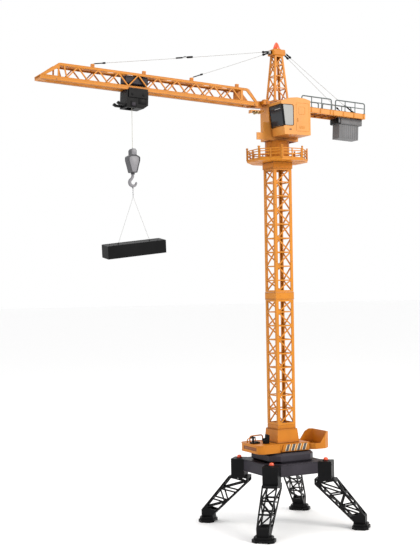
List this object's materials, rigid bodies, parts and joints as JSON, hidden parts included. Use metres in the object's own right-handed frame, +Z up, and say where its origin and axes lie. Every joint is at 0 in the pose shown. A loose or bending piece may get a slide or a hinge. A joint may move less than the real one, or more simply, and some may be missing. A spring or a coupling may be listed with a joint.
{
  "type": "toy tower crane",
  "caption": "Toy tower crane on splayed lattice legs, with a slewing mast, cab, climbing jib, travelling trolley, hoisted hook block and a beam on a sling.",
  "frame": {"origin": "on the floor under the middle of the crane's plan outline, which is 199.8 mm from the slewing axis towards the jib's tip", "axes": "+Z up; the jib reaches along -X and the counter-jib along +X; the cab and the side seen first face -Y"},
  "size_m": [0.9326, 0.3508, 1.28],
  "materials": {
    "orange_plastic": "satin moulded orange plastic",
    "black_plastic": "satin moulded black plastic",
    "charcoal_plastic": "matt moulded charcoal plastic",
    "grey_plastic": "satin moulded grey plastic",
    "red_plastic": "glossy orange-red plastic",
    "smoked_glazing": "opaque smoked panes",
    "railing_grey": "satin dark grey-green plastic",
    "steel_wire": "bright twisted wire and plain steel"
  },
  "bodies": {
    "base": {"base_frame": "charcoal_plastic", "base_cover": "black_plastic", "turntable_plate": "charcoal_plastic", "slew_motor": "steel_wire", "leg_jib_near": "black_plastic", "leg_jib_far": "black_plastic", "leg_tail_near": "black_plastic", "leg_tail_far": "black_plastic"},
    "pinion": {"slew_pinion": "grey_plastic"},
    "button_jib_near": {"lock_button_jib_near": "red_plastic"},
    "button_jib_far": {"lock_button_jib_far": "red_plastic"},
    "button_tail_near": {"lock_button_tail_near": "red_plastic"},
    "button_tail_far": {"lock_button_tail_far": "red_plastic"},
    "tower": {"ballast_tray": "orange_plastic", "beacon": "red_plastic", "cab_front_window": "smoked_glazing", "cab_shell": "orange_plastic", "cab_side_window": "smoked_glazing", "control_levers": "black_plastic", "counter_jib_deck": "orange_plastic", "counter_railing_far": "railing_grey", "counter_railing_near": "railing_grey", "counterweight": "grey_plastic", "deck_shell": "orange_plastic", "driver_seat": "black_plastic", "front_guys": "steel_wire", "head_block": "orange_plastic", "jib_frame_far": "orange_plastic", "jib_frame_near": "orange_plastic", "jib_nose": "orange_plastic", "jib_rails": "orange_plastic", "jib_top_frame": "orange_plastic", "mast_collar": "orange_plastic", "mast_lower_far": "orange_plastic", "mast_lower_front": "orange_plastic", "mast_lower_near": "orange_plastic", "mast_lower_rear": "orange_plastic", "mast_socket": "orange_plastic", "mast_upper_far": "orange_plastic", "mast_upper_front": "orange_plastic", "mast_upper_near": "orange_plastic", "mast_upper_rear": "orange_plastic", "platform_railing": "orange_plastic", "rear_guys": "steel_wire", "service_platform": "orange_plastic", "slew_gear": "grey_plastic", "slewing_drum": "orange_plastic", "tower_head_frame": "orange_plastic", "turret_body": "orange_plastic", "turret_deck": "orange_plastic"},
    "trolley": {"trolley_body": "black_plastic", "trolley_motor_cover": "charcoal_plastic"},
    "axle_front": {"trolley_axle_front": "charcoal_plastic"},
    "axle_rear": {"trolley_axle_rear": "charcoal_plastic"},
    "winch": {"winch_drum": "charcoal_plastic"},
    "hook_block": {"hook_block": "grey_plastic", "hoist_rope": "black_plastic"},
    "load": {"hook": "grey_plastic", "load_sling": "steel_wire", "load_beam": "black_plastic"}
  },
  "joints": [
    {"name": "slew", "type": "hinge", "parent": "base", "child": "tower", "pos_m": [0.1998, 0, 0.1735], "axis": [0, 0, 1], "range_deg": [-340, 340]},
    {"name": "pinion_spin", "type": "hinge", "parent": "base", "child": "pinion", "pos_m": [0.1998, 0.0365, 0.1535], "axis": [0, 0, 1], "range_deg": [-1700.5, 1700.5]},
    {"name": "press_jib_near", "type": "slide", "parent": "base", "child": "button_jib_near", "axis": [0, 0, -1], "range_m": [0, 0.003], "stiffness_N_per_m": 300},
    {"name": "press_jib_far", "type": "slide", "parent": "base", "child": "button_jib_far", "axis": [0, 0, -1], "range_m": [0, 0.003], "stiffness_N_per_m": 300},
    {"name": "press_tail_near", "type": "slide", "parent": "base", "child": "button_tail_near", "axis": [0, 0, -1], "range_m": [0, 0.003], "stiffness_N_per_m": 300},
    {"name": "press_tail_far", "type": "slide", "parent": "base", "child": "button_tail_far", "axis": [0, 0, -1], "range_m": [0, 0.003], "stiffness_N_per_m": 300},
    {"name": "trolley_travel", "type": "slide", "parent": "tower", "child": "trolley", "axis": [0.999, 0, -0.0457], "range_m": [-0.19, 0.165]},
    {"name": "axle_front_spin", "type": "hinge", "parent": "trolley", "child": "axle_front", "pos_m": [-0.23052, 0, 1.129], "axis": [0, 1, 0], "range_deg": [-2421, 2103]},
    {"name": "axle_rear_spin", "type": "hinge", "parent": "trolley", "child": "axle_rear", "pos_m": [-0.19456, 0, 1.12736], "axis": [0, 1, 0], "range_deg": [-2421, 2103]},
    {"name": "hoist", "type": "slide", "parent": "trolley", "child": "hook_block", "axis": [0, 0, 1], "range_m": [-0.695, 0.085], "deforming": ["hoist_rope"]},
    {"name": "winch_spin", "type": "hinge", "parent": "trolley", "child": "winch", "pos_m": [-0.228, 0, 1.0931], "axis": [0, 1, 0], "range_deg": [-750, 6128]},
    {"name": "hook_swivel", "type": "hinge", "parent": "hook_block", "child": "load", "pos_m": [-0.2205, 0, 0.9168], "axis": [0, 0, 1], "continuous": true}
  ],
  "couplings": [
    {"joint": "pinion_spin", "follows": "slew", "ratio": -5},
    {"joint": "axle_front_spin", "follows": "trolley_travel", "rad_per_m": 222.22},
    {"joint": "axle_rear_spin", "follows": "trolley_travel", "rad_per_m": 222.22},
    {"joint": "winch_spin", "follows": "hoist", "rad_per_m": -153.85}
  ]
}
